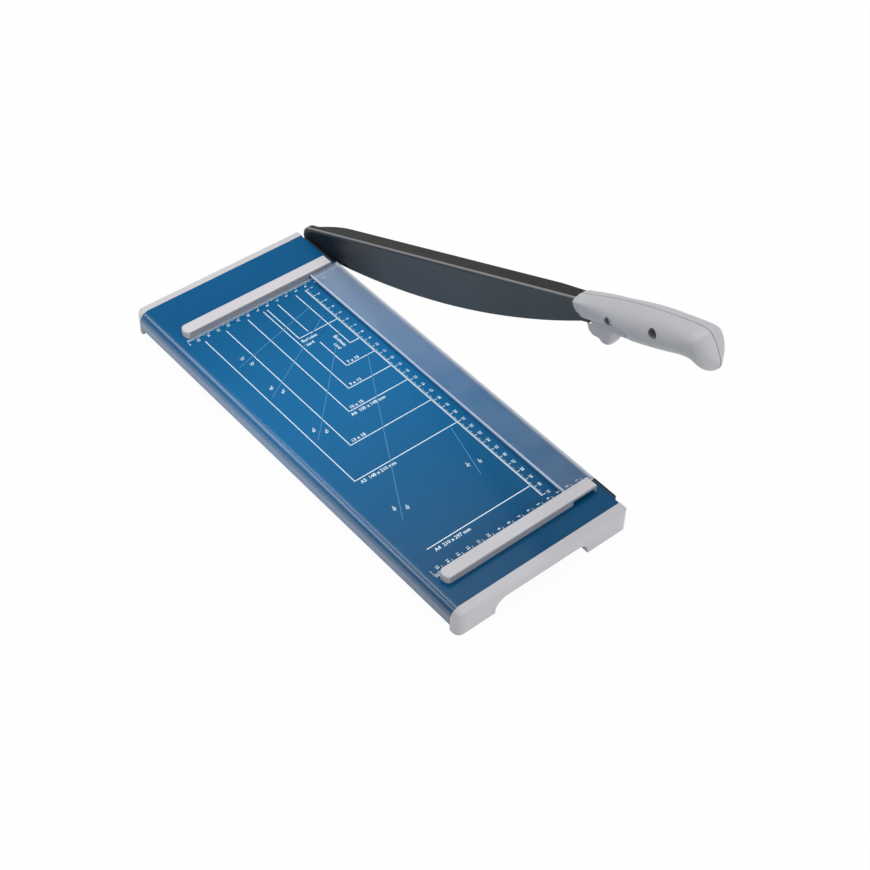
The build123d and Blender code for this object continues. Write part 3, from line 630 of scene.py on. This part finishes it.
def lever_room():
    """Space for the flange, the knife and the web inside the grip's mouth, as overlapping blocks,
    each from its low to its high place across, along and in rise."""
    clear = 0.3
    return [
        (0.1 - clear, 13.0 + clear, 340.0, 366.4, 19.5 - clear, 22.5 + clear),
        (0.1 - clear, 5.7 + clear, 340.0, 364.4, 3.4, 21.0),
        (2.7 - clear, 5.7 + clear, 340.0, 364.4, -2.0, 8.0),
    ]


def cut(piece, cutters):
    """Takes closed cutting meshes out of a piece, and keeps the result as its mesh."""
    for cutter in cutters:
        modifier = piece.modifiers.new("cut", "BOOLEAN")
        modifier.operation = "DIFFERENCE"
        modifier.solver = "EXACT"
        modifier.object = cutter
    graph = bpy.context.evaluated_depsgraph_get()
    result = bpy.data.meshes.new_from_object(piece.evaluated_get(graph))
    piece.modifiers.clear()
    piece.data = result
    for cutter in cutters:
        bpy.data.objects.remove(cutter)


def prism_cutter(name, outline_u, outline_w, x_low, x_high):
    """A closed prism across the lever: an outline in the side view carried from x_low to x_high."""
    count = len(outline_u)
    x = np.repeat([x_low, x_high], count)
    points = on_lever(x, np.tile(outline_u, 2), np.tile(outline_w, 2))
    ring = np.arange(count)
    after = np.roll(ring, -1)
    sides = np.stack([ring, after, after + count, ring + count], axis=1).tolist()
    faces = sides + [ring[::-1].tolist(), (ring + count).tolist()]
    mesh = bpy.data.meshes.new(name)
    mesh.from_pydata(points.tolist(), [], faces)
    outward(mesh)
    cutter = bpy.data.objects.new(name, mesh)
    bpy.context.scene.collection.objects.link(cutter)
    return cutter


def outward(mesh, weld=0.0):
    """Welds doubled points and turns every face outwards."""
    work = bmesh.new()
    work.from_mesh(mesh)
    if weld:
        bmesh.ops.remove_doubles(work, verts=work.verts, dist=weld)
        bmesh.ops.dissolve_degenerate(work, edges=work.edges, dist=weld)
    bmesh.ops.recalc_face_normals(work, faces=work.faces)
    work.to_mesh(mesh)
    work.free()


def shade(piece):
    """Smooth shading that stays crisp along the sharp edges."""
    mesh = piece.data
    mesh.polygons.foreach_set("use_smooth", np.ones(len(mesh.polygons), bool))
    mesh.set_sharp_from_angle(angle=math.radians(SHARP_DEGREES))
    mesh.update()


def grip_shell(name, node, side, finish):
    """One closed half of the grip: the outer skin is the rib grid pushed sideways by the half
    thickness, and the inner face is the same grid left on the parting plane."""
    u, w = grip_ribs()
    height = grip_height(u, w, left=side < 0)
    inner_x = GRIP_MID + side * GRIP_GAP
    outer = on_lever(inner_x + side * height, u, w).reshape(-1, 3)
    inner = on_lever(np.full_like(u, inner_x), u, w).reshape(-1, 3)
    quads = grid_faces(*u.shape)
    faces = np.vstack([quads, quads[:, ::-1] + len(outer)])
    piece = mesh_piece(name, np.vstack([outer, inner]), faces, finish, "knife")
    outward(piece.data, weld=0.002 * MM)
    turn = np.linspace(0, 2 * np.pi, RECESS_SIDES, endpoint=False)
    cutters = []
    for number, (x_low, x_high, u_low, u_high, w_low, w_high) in enumerate(lever_room()):
        corners_u = np.array([u_low, u_high, u_high, u_low])
        corners_w = np.array([w_low, w_low, w_high, w_high])
        cutters.append(prism_cutter(f"room_{number}", corners_u, corners_w, x_low, x_high))
    for along, rise in GRIP_SCREWS:
        seat_x = GRIP_MID + side * (RECESS_SEAT_LEFT if side < 0 else RECESS_SEAT_RIGHT)
        end_x = GRIP_MID + side * RECESS_END
        ring_u = along + RECESS_RADIUS * np.cos(turn)
        ring_w = rise + RECESS_RADIUS * np.sin(turn)
        cutters.append(prism_cutter("recess", ring_u, ring_w, min(seat_x, end_x), max(seat_x, end_x)))
    cut(piece, cutters)
    shade(piece)
    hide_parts(node)


# ---------------------------------------------------------------- printing on the table
# places and sizes in millimetres, x leftwards from the print's zero line, y towards the near end
PRINT_ZERO = 0.8
INK_RISE = 0.05 * MM
INK_THICKNESS = INK_RISE * 0.9

# line widths
LINE = 0.8
RULER_LINE = 0.9
EDGE_LINE = 0.6
TICK = 0.34
LONG_TICK = 0.5
RAY = 0.55

# rulers, and the lengths of their ticks at a whole centimetre, at a half, and between
BASELINE_X = 45.0
RULER_START, RULER_END, RULER_OVERRUN = 10, 310, 0.4
ACROSS_START, ACROSS_END, ACROSS_OVERRUN = 0.9, 160.0, 0.3
FAR_RULER_Y, FAR_TICK_Y, FAR_CLOSING_Y = 0.5, 0.3, 0.2
NEAR_RULER_Y = 321.6
CUT_TICKS = (3.9, 2.6, 1.6)
FAR_TICKS = (4.3, 3.2, 2.5)
NEAR_TICKS = (6.4, 3.8, 2.8)
CLOSING_TICK = 7.0

# boxes for cards, prints and papers, as (across, along); one left side is broken for its label
FORMATS = [(85, 55), (55, 85), (74, 105), (89, 127), (105, 148), (127, 178), (148, 210)]
BOX_START = 10
BROKEN_BOX, BREAK_START, BREAK_END = 74, 52.5, 69
LONGEST_BOX = (148, 297)

# rays for cutting at an angle
RAY_DEGREES = (15, 30, 45, 60, 75)
RAY_SOURCE_Y = 14.3
RAY_START_X, RAY_END_X, RAY_END_Y = 52.0, 143.6, 264.6
RAY_LABEL_SETBACK, RAY_LABEL_STEEP_SETBACK = 9.5, 4.5
RAY_LABEL_FAR_SIDE, RAY_LABEL_NEAR_SIDE = -4.8, 5.4

# numbers and labels
NUMBER_SIZE = 3.6
LABEL_SIZE = 4.5
STROKE_WEIGHT = 0.022
SIDEWAYS = -90.0
CUT_NUMBERS, CUT_NUMBER_X = range(1, 32), 38.4
ACROSS_NUMBERS = range(1, 16)
FAR_NUMBER_SHIFT, FAR_NUMBER_Y = 1.7, 5.5
NEAR_NUMBER_SHIFT, NEAR_NUMBER_Y = 3.3, 315.0


def line_quads(starts, ends, width):
    """One flat quad per line: the two ends pushed half the width to each side of the run."""
    starts, ends = np.asarray(starts, float), np.asarray(ends, float)
    run = ends - starts
    run = run / np.linalg.norm(run, axis=1)[:, None]
    side = np.stack([-run[:, 1], run[:, 0]], axis=1) * width / 2
    return np.stack([starts - side, ends - side, ends + side, starts + side], axis=1)


def on_table(x, y):
    """Table points in metres from the print's own places: x leftwards from the print's zero line,
    y towards the near end from the far stop's face, in millimetres."""
    return np.stack([(PRINT_ZERO - x) * MM, -y * MM, np.full_like(x, INK_RISE)], axis=-1)


def ink_layer(name, points, faces, finish):
    """A layer of ink from flat faces: they are turned to look up, and thickened downwards."""
    piece = mesh_piece(name, points, faces, finish, "base")
    work = bmesh.new()
    work.from_mesh(piece.data)
    flipped = [face for face in work.faces if face.normal.z < 0]
    bmesh.ops.reverse_faces(work, faces=flipped)
    work.to_mesh(piece.data)
    work.free()
    wall = piece.modifiers.new("ink_thickness", "SOLIDIFY")
    wall.thickness = INK_THICKNESS
    wall.offset = -1.0


def ink_sheet(name, quads, finish):
    """A layer of ink from flat quads."""
    flat = quads.reshape(-1, 2)
    points = on_table(flat[:, 0], flat[:, 1])
    ink_layer(name, points, np.arange(len(flat)).reshape(-1, 4), finish)


def pairs(x, y):
    """Rows of (x, y), where either may be one number for all rows."""
    return np.stack(np.broadcast_arrays(x, y), axis=1)


def tick_reach(places, whole, half, between):
    """The length of the tick at each millimetre: for whole centimetres, halves and the rest."""
    return np.where(places % 10 == 0, whole, np.where(places % 5 == 0, half, between))


def ruler_lines():
    """Centimetre ruler along the cut: its base line, and a tick every millimetre, longer at each
    half and each whole centimetre. Short rulers run along both stops, each with a closing tick."""
    base_start, base_end = RULER_START - RULER_OVERRUN, RULER_END + RULER_OVERRUN
    base = line_quads([(BASELINE_X, base_start)], [(BASELINE_X, base_end)], RULER_LINE)
    places = np.arange(RULER_START, RULER_END + 1, dtype=float)
    starts = pairs(BASELINE_X, places)
    ends = pairs(BASELINE_X - tick_reach(places, *CUT_TICKS), places)
    whole = places % 10 == 0
    ticks = line_quads(starts[~whole], ends[~whole], TICK)
    long_ticks = line_quads(starts[whole], ends[whole], LONG_TICK)
    across = np.arange(1.0, ACROSS_END + 1)
    far_ends = pairs(across, tick_reach(across, *FAR_TICKS))
    far_ticks = line_quads(pairs(across, FAR_TICK_Y), far_ends, TICK)
    near_ends = pairs(across, NEAR_RULER_Y - tick_reach(across, *NEAR_TICKS))
    near_ticks = line_quads(pairs(across, NEAR_RULER_Y), near_ends, TICK)
    edges = line_quads(
        [
            (ACROSS_START, FAR_RULER_Y),
            (ACROSS_START, NEAR_RULER_Y),
            (ACROSS_END, FAR_CLOSING_Y),
            (ACROSS_END, NEAR_RULER_Y + ACROSS_OVERRUN),
        ],
        [
            (ACROSS_END + ACROSS_OVERRUN, FAR_RULER_Y),
            (ACROSS_END + ACROSS_OVERRUN, NEAR_RULER_Y),
            (ACROSS_END, CLOSING_TICK),
            (ACROSS_END, NEAR_RULER_Y - CLOSING_TICK),
        ],
        EDGE_LINE,
    )
    return np.vstack([base, ticks, long_ticks, far_ticks, near_ticks, edges])


def format_lines():
    """Boxes of the usual card, print and paper sizes, from the corner by the far stop: each has
    its left side from beside the far ruler down to its length, and its near side to the ruler.
    The longest shares its left side with the one before, so it has only the near side."""
    starts, ends = [], []
    for wide, long in FORMATS:
        starts.append((wide, BOX_START))
        if wide == BROKEN_BOX:
            ends.append((wide, BREAK_START))
            starts.append((wide, BREAK_END))
        ends.append((wide, long + LINE / 2))
        starts.append((wide, long))
        ends.append((BASELINE_X, long))
    wide, long = LONGEST_BOX
    starts.append((wide + LINE / 2, long))
    ends.append((BASELINE_X, long))
    return line_quads(starts, ends, LINE)


def ray_end(slope):
    """How far left a ray runs: to the left limit or to the near limit, whichever comes first."""
    return min(RAY_END_X, (RAY_END_Y - RAY_SOURCE_Y) / slope)


def angle_lines():
    """Rays at 15 degree steps from one point on the zero line."""
    starts, ends = [], []
    for degrees in RAY_DEGREES:
        slope = math.tan(math.radians(degrees))
        end_x = ray_end(slope)
        starts.append((RAY_START_X, RAY_SOURCE_Y + RAY_START_X * slope))
        ends.append((end_x, RAY_SOURCE_Y + end_x * slope))
    return line_quads(starts, ends, RAY)


def number_marks():
    """Every printed number as (text, x, y, size, turn in degrees): along the cut, along both stops,
    beside the boxes, and the angles on both sides of their rays."""
    marks = [(str(k), CUT_NUMBER_X, 10.0 * k, NUMBER_SIZE, SIDEWAYS) for k in CUT_NUMBERS]
    for k in ACROSS_NUMBERS:
        x = 10.0 * k
        marks.append((str(k), x + FAR_NUMBER_SHIFT, FAR_NUMBER_Y, NUMBER_SIZE, SIDEWAYS))
        marks.append((str(k), x + NEAR_NUMBER_SHIFT, NEAR_NUMBER_Y, NUMBER_SIZE, SIDEWAYS))
    marks += [
        ("7 x 10", 65.3, 101.9, LABEL_SIZE, 0.0),
        ("9 x 13", 80.0, 123.8, LABEL_SIZE, 0.0),
        ("10 x 15", 95.0, 144.8, LABEL_SIZE, 0.0),
        ("A6  105 x 148 mm", 89.0, 151.8, LABEL_SIZE, 0.0),
        ("13 x 18", 116.5, 174.8, LABEL_SIZE, 0.0),
        ("A5  148 x 210 mm", 128.0, 213.8, LABEL_SIZE, 0.0),
        ("A4  210 x 297 mm", 127.0, 301.3, LABEL_SIZE, 0.0),
        ("Business", 78.0, 59.4, LABEL_SIZE, 0.0),
        ("card", 81.4, 65.0, LABEL_SIZE, 0.0),
        ("Business", 59.8, 77.7, LABEL_SIZE, SIDEWAYS),
        ("card", 65.4, 81.6, LABEL_SIZE, SIDEWAYS),
    ]
    for degrees in RAY_DEGREES:
        angle = math.radians(degrees)
        length = ray_end(math.tan(angle)) / math.cos(angle)
        reach = length - RAY_LABEL_SETBACK - RAY_LABEL_STEEP_SETBACK * math.sin(angle) ** 4
        x, y = reach * math.cos(angle), RAY_SOURCE_Y + reach * math.sin(angle)
        far_label = (f"{degrees}°", RAY_LABEL_FAR_SIDE)
        near_label = (f"{90 - degrees}°", RAY_LABEL_NEAR_SIDE)
        for text, aside in (far_label, near_label):
            spot = (x - aside * math.sin(angle), y + aside * math.cos(angle))
            marks.append((text, *spot, NUMBER_SIZE, float(degrees)))
    return marks


def text_shape(text):
    """A centred text of unit size as a flat mesh: its points and its faces."""
    curve = bpy.data.curves.new("number", "FONT")
    curve.body = text
    curve.align_x = "CENTER"
    curve.align_y = "CENTER"
    curve.resolution_u = 2
    curve.offset = STROKE_WEIGHT
    holder = bpy.data.objects.new("number", curve)
    bpy.context.scene.collection.objects.link(holder)
    graph = bpy.context.evaluated_depsgraph_get()
    mesh = bpy.data.meshes.new_from_object(holder.evaluated_get(graph))
    points = np.zeros(len(mesh.vertices) * 3)
    mesh.vertices.foreach_get("co", points)
    faces = [list(face.vertices) for face in mesh.polygons]
    bpy.data.objects.remove(holder)
    bpy.data.meshes.remove(mesh)
    bpy.data.curves.remove(curve)
    points = points.reshape(-1, 3)[:, :2]
    middle = (points.max(axis=0) + points.min(axis=0)) / 2
    return points - middle, faces


def number_sheet(name, finish):
    """All numbers in one ink layer: each text's flat shape is scaled, turned and set in place."""
    shapes = {}
    all_points, all_faces, used = [], [], 0
    for text, x, y, size, turn in number_marks():
        if text not in shapes:
            shapes[text] = text_shape(text)
        points, faces = shapes[text]
        c, s = math.cos(math.radians(turn)), math.sin(math.radians(turn))
        spun = points @ np.array([[c, s], [-s, c]]) * size
        all_points.append(on_table(x - spun[:, 0], y - spun[:, 1]))
        all_faces += [[used + k for k in face] for face in faces]
        used += len(points)
    ink_layer(name, np.vstack(all_points), all_faces, finish)


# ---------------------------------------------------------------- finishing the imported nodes
def dress(node, material):
    """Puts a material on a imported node."""
    slots = nodes[node].data.materials
    slots.clear()
    slots.append(material)


# painted light and shade: the near cap's plastic is painted darker and the far cap's lighter, though
# both are one plastic
cap_plastic = moulded_plastic("cap_plastic", tint(191, 190, 194), tint(183, 182, 187), 0.34)
far_cap_lit_plastic = moulded_plastic("far_cap_lit_plastic", tint(210, 209, 212), tint(202, 201, 205), 0.50)
# painted light and shade: the far stop's plastic is painted lighter and the near stop's darker, though
# both are one plastic
stop_plastic = moulded_plastic(
    "stop_plastic", tint(216, 214, 218), tint(206, 205, 209), 0.48, shaded_face=far_stop_low.y
)
near_stop_shaded_plastic = moulded_plastic(
    "near_stop_shaded_plastic", tint(199, 198, 202), tint(190, 189, 194), 0.48, shaded_face=near_stop_low.y
)
handle_plastic = moulded_plastic(
    "handle_plastic", tint(184, 185, 189), tint(176, 178, 182), 0.44, GRIP_SCREWS
)
table_paint = powder_coat()
white_ink = print_ink("white_print", tint(228, 244, 252), 0.35)
ray_ink = print_ink("pale_blue_print", tint(72, 142, 190), 0.3)
guard_plastic = clear_guard()
bright_zinc = brushed_metal("bright_zinc", tint(196, 199, 203), tint(160, 164, 170), 0.30, EVERY_WAY)
drawn_steel = brushed_metal(
    "drawn_steel", tint(150, 152, 155), tint(118, 120, 124), 0.40, (1.0, 0.05, 1.0)
)
spring_steel = brushed_metal("blued_spring_steel", tint(92, 96, 108), tint(60, 64, 76), 0.30, EVERY_WAY)
knife_bar_black = counter_edge()
black_oxide = brushed_metal("black_oxide", tint(60, 61, 63), tint(38, 39, 41), 0.40, EVERY_WAY)
knife_coat = coated_steel(
    "knife_coating", tint(86, 90, 93), tint(66, 72, 72), 0.40, tint(100, 103, 105), 0.0
)
# painted shade: the arm's top is painted near black, darker than the knife's side in the same coating
arm_top_shaded_coat = coated_steel(
    "arm_coating", tint(22, 23, 21), tint(8, 9, 7), 0.48, tint(32, 32, 29), 1.0
)
rubber = soft_rubber()
bronze = bronze_bush()

node_finishes = {
    "table_plate": table_paint,
    "near_end_cap": cap_plastic,
    "far_end_cap": far_cap_lit_plastic,
    "rubber_feet": rubber,
    "cap_screws": bright_zinc,
    "bed_rail": drawn_steel,
    "counter_blade": knife_bar_black,
    "counter_blade_screws": black_oxide,
    "far_stop": stop_plastic,
    "near_stop": near_stop_shaded_plastic,
    "stop_screws": bright_zinc,
    "guard_strip": guard_plastic,
    "pivot_bolt": bright_zinc,
    "pivot_washer": bright_zinc,
    "pivot_spring_discs": spring_steel,
    "pivot_nut": bright_zinc,
    "upper_blade": knife_coat,
    "knife_arm": arm_top_shaded_coat,
    "blade_screws": knife_coat,
    "pivot_bush": bronze,
    "handle_left": handle_plastic,
    "handle_right": handle_plastic,
    "handle_screws": bright_zinc,
    "handle_nuts": bright_zinc,
}
for node_name, material in node_finishes.items():
    dress(node_name, material)

grip_shell("grip_shell_left", "handle_left", -1, handle_plastic)
grip_shell("grip_shell_right", "handle_right", 1, handle_plastic)
ink_sheet("printed_rulers", ruler_lines(), white_ink)
ink_sheet("printed_format_boxes", format_lines(), white_ink)
ink_sheet("printed_angle_rays", angle_lines(), ray_ink)
number_sheet("printed_numbers", white_ink)


# ---------------------------------------------------------------- floor, light and camera
WHITE = (1.0, 1.0, 1.0, 1.0)
FLOOR_PAPER = (0.94, 0.94, 0.94, 1.0)
FLOOR_HALF = 4.0
FLOOR_WHITE_SHARE = 0.96
WORLD_FILL = 0.36
LIT_CENTRE = (-0.05, -0.15, 0.0)

# name, place, width and height in metres, and power in watts
SOFTBOXES = [
    ("softbox_overhead", (0.0, 0.1, 1.5), 1.4, 1.4, 16.0),
    ("softbox_far_left", (-1.15, 0.9, 1.15), 1.0, 0.6, 4.0),
    ("softbox_near", (0.35, -1.6, 0.5), 1.2, 0.9, 8.0),
]


def seen_white(finish, shaded, share):
    """Mixes plain white light into what camera, gloss and clear plastic see of a shader."""
    rays = finish.tree.nodes.new("ShaderNodeLightPath")
    seen = Wire(finish, rays.outputs["Is Camera Ray"])
    for ray in ("Is Glossy Ray", "Is Transmission Ray"):
        seen = seen.math("MAXIMUM", seen, Wire(finish, rays.outputs[ray]))
    glow = finish.node("ShaderNodeEmission", None, {"Color": WHITE, "Strength": 1.0})
    return finish.node("ShaderNodeMixShader", None, {0: seen * share, 1: shaded, 2: glow})


def pale_floor():
    """A wide pale floor under the feet: it reads white, and keeps a soft shadow."""
    half = FLOOR_HALF
    corners = [(-half, -half, desk), (half, -half, desk), (half, half, desk), (-half, half, desk)]
    mesh = bpy.data.meshes.new("studio_floor")
    mesh.from_pydata(corners, [], [(0, 1, 2, 3)])
    floor = bpy.data.objects.new("studio_floor", mesh)
    bpy.context.scene.collection.objects.link(floor)
    finish = Finish("floor_paper")
    finish.surface(Base_Color=FLOOR_PAPER, Roughness=0.95, Specular_IOR_Level=0.0)
    shaded = Wire(finish, finish.shader.outputs[0])
    mixed = seen_white(finish, shaded, FLOOR_WHITE_SHARE)
    finish.tree.links.new(mixed.socket, finish.output.inputs["Surface"])
    mesh.materials.append(finish.material)


def studio_world():
    """Even white surroundings: plain white where seen, and a soft fill elsewhere."""
    world = bpy.data.worlds.new("studio")
    bpy.context.scene.world = world
    world.use_nodes = True
    tree = world.node_tree
    tree.nodes.clear()
    rays = tree.nodes.new("ShaderNodeLightPath")
    seen = tree.nodes.new("ShaderNodeMath")
    seen.operation = "MAXIMUM"
    tree.links.new(rays.outputs["Is Camera Ray"], seen.inputs[0])
    tree.links.new(rays.outputs["Is Transmission Ray"], seen.inputs[1])
    mixed = tree.nodes.new("ShaderNodeMixShader")
    output = tree.nodes.new("ShaderNodeOutputWorld")
    tree.links.new(seen.outputs[0], mixed.inputs[0])
    for place, strength in ((1, WORLD_FILL), (2, 1.0)):
        background = tree.nodes.new("ShaderNodeBackground")
        background.inputs["Color"].default_value = WHITE
        background.inputs["Strength"].default_value = strength
        tree.links.new(background.outputs[0], mixed.inputs[place])
    tree.links.new(mixed.outputs[0], output.inputs["Surface"])


def softbox(name, place, width, height, power):
    """A rectangular area lamp at a place, facing the middle of the part."""
    lamp = bpy.data.lights.new(name, "AREA")
    lamp.shape = "RECTANGLE"
    lamp.size = width
    lamp.size_y = height
    lamp.energy = power
    holder = bpy.data.objects.new(name, lamp)
    bpy.context.scene.collection.objects.link(holder)
    holder.location = place
    facing = Vector(LIT_CENTRE) - Vector(place)
    holder.rotation_euler = facing.to_track_quat("-Z", "Y").to_euler()


def studio_camera():
    """The camera: where it stands, the way it looks, and a lens for a square picture."""
    place = Vector((-0.70294, -0.92775, 0.98874))
    forward = Vector((0.46162691, 0.52103807, -0.71792752))
    right = Vector((0.76720846, -0.6407745, 0.02827048))
    up = right.cross(forward)
    data = bpy.data.cameras.new("camera")
    data.sensor_width = 36.0
    data.lens = 72.38
    data.clip_start = 0.05
    data.clip_end = 50.0
    camera = bpy.data.objects.new("camera", data)
    bpy.context.scene.collection.objects.link(camera)
    turn = Matrix((right, up, -forward)).transposed()
    camera.matrix_world = Matrix.Translation(place) @ turn.to_4x4()
    bpy.context.scene.camera = camera


pale_floor()
studio_world()
for lamp_settings in SOFTBOXES:
    softbox(*lamp_settings)
studio_camera()
bpy.context.scene.view_settings.view_transform = "Standard"
